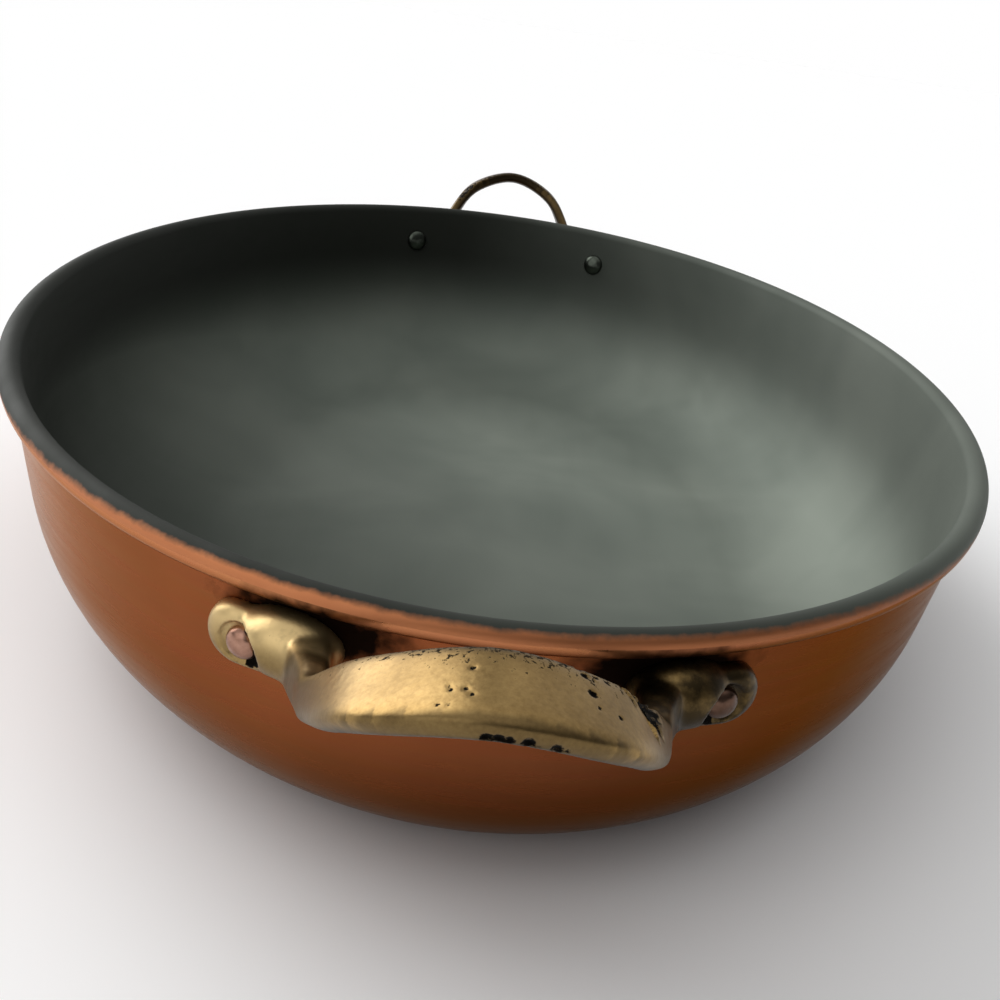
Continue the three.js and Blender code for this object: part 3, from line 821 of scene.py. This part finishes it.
def brass_finish():
    """Sand-cast brass, worn smooth and handled to a soft gold, with brown in its hollows, black in its
    casting pits, grime with painted shade in the dish beside each rivet, and a dark speckle along the
    grip's inner edge. Tarnish blotches the pads and stems. Painted shade darkens its undersides and edge
    faces, over duller brass there, the bends, the pads and stems towards one side and the rear handle,
    and a painted highlight lightens the upper pad at the other side."""
    cloud, blotch, skin, speck = 11 * MM, 5 * MM, 1.6 * MM, 0.9 * MM
    material, tree, shader = metal("sand_cast_brass_worn_smooth")
    at = node(tree, "ShaderNodeTexCoord").outputs["Object"]
    clouds = node(tree, "ShaderNodeTexNoise", {"Vector": at, "Scale": 1 / cloud, "Detail": 4})
    toned = node(
        tree, "ShaderNodeMix",
        {FACTOR: clouds.outputs["Fac"], FIRST: linear("#6E5734"), SECOND: linear("#A88B58")},
        data_type="RGBA",
    )
    grains = node(
        tree, "ShaderNodeTexNoise", {"Vector": at, "Scale": 1 / speck, "Detail": 3, "Roughness": 0.65}
    )
    mottled = node(
        tree, "ShaderNodeMix",
        {FACTOR: 0.5, FIRST: toned.outputs[MIXED], SECOND: grains.outputs["Fac"]},
        data_type="RGBA", blend_type="SOFT_LIGHT",
    )
    form = node(tree, "ShaderNodeNewGeometry")
    hollow = node(
        tree, "ShaderNodeMapRange",
        {"Value": form.outputs["Pointiness"], "From Min": 0.49, "From Max": 0.42},
    )
    browned = node(
        tree, "ShaderNodeMix",
        {FACTOR: hollow.outputs["Result"], FIRST: mottled.outputs[MIXED], SECOND: linear("#2B2214")},
        data_type="RGBA",
    )
    # Duller brass with painted shade on the undersides and edge faces.
    dull_shaded_faces = node(tree, "ShaderNodeAttribute", attribute_name="unpolished_and_shaded")
    dark_side = node(
        tree, "ShaderNodeMix",
        {FACTOR: dull_shaded_faces.outputs["Fac"], FIRST: browned.outputs[MIXED], SECOND: linear("#332B20")},
        data_type="RGBA",
    )
    ends = node(tree, "ShaderNodeAttribute", attribute_name="off_strap")
    along = node(tree, "ShaderNodeSeparateXYZ", {0: at})
    # Real tarnish blotches on the pads and stems, with painted shade added towards +X.
    shade_by_side = node(
        tree, "ShaderNodeMapRange",
        {
            "Value": along.outputs["X"], "From Min": -10 * MM, "From Max": 10 * MM,
            "To Min": -0.3, "To Max": 0.15,
        },
    )
    blotches = node(
        tree, "ShaderNodeTexNoise", {"Vector": at, "Scale": 1 / blotch, "Detail": 5, "Roughness": 0.6}
    )
    uneven = node(
        tree, "ShaderNodeMath", {0: blotches.outputs["Fac"], 1: shade_by_side.outputs["Result"]}, operation="ADD"
    )
    tarnish = node(
        tree, "ShaderNodeMapRange",
        {"Value": uneven.outputs["Value"], "From Min": 0.3, "From Max": 0.7, "To Min": 0.1, "To Max": 0.95},
    )
    on_ends = node(
        tree, "ShaderNodeMath", {0: ends.outputs["Fac"], 1: tarnish.outputs["Result"]}, operation="MULTIPLY"
    )
    # Painted shade: the rear handle is darker.
    rear_shade = node(
        tree, "ShaderNodeMapRange",
        {"Value": along.outputs["Y"], "From Min": -100 * MM, "From Max": 100 * MM, "To Max": 0.8},
    )
    ends_or_rear = node(
        tree, "ShaderNodeMath", {0: on_ends.outputs["Value"], 1: rear_shade.outputs["Result"]},
        operation="MAXIMUM",
    )
    # Painted shade: the bends of the strap are darker.
    bend = node(tree, "ShaderNodeAttribute", attribute_name="bend")
    shaded_bend = node(tree, "ShaderNodeMath", {0: bend.outputs["Fac"], 1: 0.55}, operation="MULTIPLY")
    overall = node(
        tree, "ShaderNodeMath", {0: ends_or_rear.outputs["Value"], 1: shaded_bend.outputs["Value"]},
        operation="MAXIMUM",
    )
    # Painted highlight: the upper pad towards -X is lighter.
    highlight_by_side = node(
        tree, "ShaderNodeMapRange",
        {"Value": along.outputs["X"], "From Min": 10 * MM, "From Max": -10 * MM, "To Max": 0.85},
    )
    pad_highlight = node(tree, "ShaderNodeAttribute", attribute_name="pad_highlight")
    on_pad = node(
        tree, "ShaderNodeMath", {0: pad_highlight.outputs["Fac"], 1: highlight_by_side.outputs["Result"]},
        operation="MULTIPLY",
    )
    highlit_pad = node(
        tree, "ShaderNodeMix",
        {FACTOR: on_pad.outputs["Value"], FIRST: dark_side.outputs[MIXED], SECOND: linear("#DCC08A")},
        data_type="RGBA",
    )
    tarnished_and_shaded = node(
        tree, "ShaderNodeMix",
        {FACTOR: overall.outputs["Value"], FIRST: highlit_pad.outputs[MIXED], SECOND: linear("#2E2619")},
        data_type="RGBA",
    )
    inner = node(tree, "ShaderNodeAttribute", attribute_name="inner_edge")
    denser = node(
        tree, "ShaderNodeMath",
        {0: inner.outputs["Fac"], 1: 0.3, 2: grains.outputs["Fac"]},
        operation="MULTIPLY_ADD",
    )
    speckled = node(
        tree, "ShaderNodeMapRange",
        {"Value": denser.outputs["Value"], "From Min": 0.73, "From Max": 0.82},
    )
    patina = node(
        tree, "ShaderNodeMix",
        {FACTOR: speckled.outputs["Result"], FIRST: tarnished_and_shaded.outputs[MIXED], SECOND: linear("#2A2114")},
        data_type="RGBA",
    )
    # Black in the casting pits, and grime with painted shade in the dishes.
    pit = node(tree, "ShaderNodeAttribute", attribute_name="pit")
    ragged = node(
        tree, "ShaderNodeMath", {0: grains.outputs["Fac"], 1: pit.outputs["Fac"]}, operation="MULTIPLY"
    )
    black = node(
        tree, "ShaderNodeMapRange",
        {"Value": ragged.outputs["Value"], "From Min": 0.28, "From Max": 0.4},
    )
    pitted = node(
        tree, "ShaderNodeMix",
        {FACTOR: black.outputs["Result"], FIRST: patina.outputs[MIXED], SECOND: linear("#0C0906")},
        data_type="RGBA",
    )
    tree.links.new(pitted.outputs[MIXED], shader.inputs["Base Color"])
    gloss = node(
        tree, "ShaderNodeMapRange",
        {"Value": clouds.outputs["Fac"], "From Min": 0.3, "From Max": 0.7, "To Min": 0.42, "To Max": 0.32},
    )
    dirt_and_shade = node(
        tree, "ShaderNodeMath", {0: speckled.outputs["Result"], 1: black.outputs["Result"]},
        operation="MAXIMUM",
    )
    dulled = node(
        tree, "ShaderNodeMath", {0: dirt_and_shade.outputs["Value"], 1: 0.4, 2: gloss.outputs["Result"]},
        operation="MULTIPLY_ADD",
    )
    tree.links.new(dulled.outputs["Value"], shader.inputs["Roughness"])
    sand = node(tree, "ShaderNodeTexNoise", {"Vector": at, "Scale": 1 / skin, "Detail": 4})
    grainy = node(
        tree, "ShaderNodeBump", {"Height": sand.outputs["Fac"], "Distance": 0.2 * MM, "Strength": 0.3}
    )
    tree.links.new(grainy.outputs["Normal"], shader.inputs["Normal"])
    return material


def rivet_finish():
    """Soft copper rivets: the outer heads are dimpled by the hammer, stained pink and brown, and darkened by
    painted shade towards one side of the pan, and the inner heads are tinned with the lining."""
    dimple, tarnish = 2.2 * MM, 1.5 * MM
    material, tree, shader = metal("hammered_copper_rivet")
    at = node(tree, "ShaderNodeTexCoord").outputs["Object"]
    stains = node(tree, "ShaderNodeTexNoise", {"Vector": at, "Scale": 1 / tarnish, "Detail": 4})
    stained = node(
        tree, "ShaderNodeMix",
        {FACTOR: stains.outputs["Fac"], FIRST: linear("#6E4A3A"), SECOND: linear("#BE9480")},
        data_type="RGBA",
    )
    along = node(tree, "ShaderNodeSeparateXYZ", {0: at})
    # Painted shade: the outer heads are darker towards +X.
    shade_by_side = node(
        tree, "ShaderNodeMapRange",
        {"Value": along.outputs["X"], "From Min": -36 * MM, "From Max": 36 * MM, "To Max": 0.75},
    )
    darkened = node(
        tree, "ShaderNodeMix",
        {FACTOR: shade_by_side.outputs["Result"], FIRST: stained.outputs[MIXED], SECOND: linear("#2C231B")},
        data_type="RGBA",
    )
    inside = node(tree, "ShaderNodeAttribute", attribute_name="inside_pan")
    tinned = node(
        tree, "ShaderNodeMix",
        {FACTOR: inside.outputs["Fac"], FIRST: darkened.outputs[MIXED], SECOND: linear("#474C45")},
        data_type="RGBA",
    )
    tree.links.new(tinned.outputs[MIXED], shader.inputs["Base Color"])
    shader.inputs["Roughness"].default_value = 0.28
    dimples = node(
        tree, "ShaderNodeTexVoronoi", {"Vector": at, "Scale": 1 / dimple}, feature="SMOOTH_F1"
    )
    hammered = node(
        tree, "ShaderNodeBump", {"Height": dimples.outputs["Distance"], "Distance": 0.4 * MM, "Strength": 0.5}
    )
    tree.links.new(hammered.outputs["Normal"], shader.inputs["Normal"])
    return material


# Assembly

def settle(piece, name, node_name, material):
    piece.name = name
    piece.data.materials.clear()
    piece.data.materials.append(material)
    pick(piece)
    bpy.ops.object.shade_smooth_by_angle(angle=SHARPEST_SMOOTH)
    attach(piece, BODY)
    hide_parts(node_name)


def copy_turned(piece):
    """A copy, with a mesh of its own, at the other end of the pan."""
    pick(piece)
    bpy.ops.object.duplicate()
    copy = bpy.context.object
    place(copy, Matrix.Rotation(math.pi, 4, "Z"))
    return copy


brass = brass_finish()
rivet_copper = rivet_finish()
settle(copper_shell(), "copper_shell", "copper_body", copper_finish())
settle(tin_coat(), "tin_coat", "tin_lining", tin_finish())
rear_handle = cast_handle()
for end, piece in {"rear": rear_handle, "front": copy_turned(rear_handle)}.items():
    settle(piece, f"cast_handle_{end}", f"{end}_handle", brass)
for side_name, side in {"left": 1, "right": -1}.items():
    rear_rivet = rivet(side)
    for end, piece in {"rear": rear_rivet, "front": copy_turned(rear_rivet)}.items():
        node_name = f"{end}_handle_rivet_{side_name}"
        settle(piece, f"rivet_{end}_{side_name}", node_name, rivet_copper)


# Studio

FLOOR_SIZE = 12
FLOOR_GAP = 0.1 * MM
WINDOWS = (  # towards each, and its level
    (Vector((-0.7, 0.56, 0.45)), 4),
    (Vector((-0.62, -0.62, 0.46)), 1.2),
    (Vector((0.5, 0.72, 0.48)), 0.6),
)
WINDOW_EDGE = 0.8  # cosine of the angle from a window's middle at which its light begins
WINDOW_FULL = 0.96
CEILING_LEVEL = 1.15
CEILING_FALL = 4  # power by which it dims away from overhead
ROOM_LEVEL = 0.05
SURROUND_LEVEL = 1
SURROUND_FULL, SURROUND_END = 0.08, 0.2  # sines of the heights over which it ends
CAMERA_PLACE = Vector((-9.84, -376.46, 170.1)) * MM
CAMERA_YAW = math.radians(2.48)
CAMERA_PITCH = math.radians(22.8)
CAMERA_ROLL = math.radians(8.45)
SENSOR = 36
LENS = 43.77


def studio_floor():
    bpy.ops.object.select_all(action="DESELECT")
    bpy.ops.mesh.primitive_plane_add(size=FLOOR_SIZE, location=(0, 0, -FLOOR_GAP))
    floor = bpy.context.object
    floor.name = "studio_floor"
    material = bpy.data.materials.new("matt_white_paper")
    material.use_nodes = True
    shader = material.node_tree.nodes["Principled BSDF"]
    shader.inputs["Base Color"].default_value = linear("#FCFCFC")
    shader.inputs["Roughness"].default_value = 0.9
    shader.inputs["Specular IOR Level"].default_value = 0
    floor.data.materials.append(material)


def photo_camera():
    camera = bpy.data.cameras.new("camera")
    camera.sensor_width = SENSOR
    camera.lens = LENS
    camera_object = bpy.data.objects.new("camera", camera)
    bpy.context.scene.collection.objects.link(camera_object)
    forward = Vector((
        math.sin(CAMERA_YAW) * math.cos(CAMERA_PITCH),
        math.cos(CAMERA_YAW) * math.cos(CAMERA_PITCH),
        -math.sin(CAMERA_PITCH),
    ))
    right = Vector((math.cos(CAMERA_YAW), -math.sin(CAMERA_YAW), 0))
    level = Matrix((right, right.cross(forward), -forward)).transposed().to_4x4()
    roll = Matrix.Rotation(CAMERA_ROLL, 4, "Z")
    camera_object.matrix_world = Matrix.Translation(CAMERA_PLACE) @ level @ roll
    bpy.context.scene.camera = camera_object


def window_light():
    """A strong soft window behind the pan on its left, two weaker ones, a pale ceiling and a dim room.
    The white surround at eye level is seen and mirrored, and adds no light of its own."""
    world = bpy.data.worlds.new("studio")
    bpy.context.scene.world = world
    world.use_nodes = True
    tree = world.node_tree
    direction = node(tree, "ShaderNodeTexCoord").outputs["Generated"]
    height = node(tree, "ShaderNodeSeparateXYZ", {0: direction}).outputs["Z"]
    surround = node(
        tree, "ShaderNodeMapRange",
        {
            "Value": height, "From Min": SURROUND_FULL, "From Max": SURROUND_END,
            "To Min": SURROUND_LEVEL, "To Max": 0,
        },
        interpolation_type="SMOOTHSTEP",
    )
    above = node(tree, "ShaderNodeMath", {0: height, 1: 0}, operation="MAXIMUM")
    overhead = node(tree, "ShaderNodeMath", {0: above.outputs["Value"], 1: CEILING_FALL}, operation="POWER")
    sky = node(
        tree, "ShaderNodeMath",
        {0: overhead.outputs["Value"], 1: CEILING_LEVEL, 2: ROOM_LEVEL},
        operation="MULTIPLY_ADD",
    )
    for towards, window_level in WINDOWS:
        facing = node(
            tree, "ShaderNodeVectorMath", {0: direction, 1: towards.normalized()}, operation="DOT_PRODUCT"
        )
        level = node(
            tree, "ShaderNodeMapRange",
            {
                "Value": facing.outputs["Value"], "From Min": WINDOW_EDGE, "From Max": WINDOW_FULL,
                "To Max": window_level,
            },
            interpolation_type="SMOOTHSTEP",
        )
        sky = node(
            tree, "ShaderNodeMath", {0: sky.outputs["Value"], 1: level.outputs["Result"]}, operation="ADD"
        )
    rays = node(tree, "ShaderNodeLightPath").outputs
    seen = rays["Is Camera Ray"]
    for mirrored in (rays["Is Glossy Ray"], rays["Is Transmission Ray"]):
        seen = node(tree, "ShaderNodeMath", {0: seen, 1: mirrored}, operation="MAXIMUM").outputs["Value"]
    backdrop = node(
        tree, "ShaderNodeMath", {0: surround.outputs["Result"], 1: seen}, operation="MULTIPLY"
    )
    strength = node(
        tree, "ShaderNodeMath", {0: sky.outputs["Value"], 1: backdrop.outputs["Value"]},
        operation="MAXIMUM",
    )
    background = tree.nodes["Background"]
    background.inputs["Color"].default_value = (1, 1, 1, 1)
    tree.links.new(strength.outputs["Value"], background.inputs["Strength"])


studio_floor()
window_light()
photo_camera()
bpy.context.scene.view_settings.view_transform = "Standard"
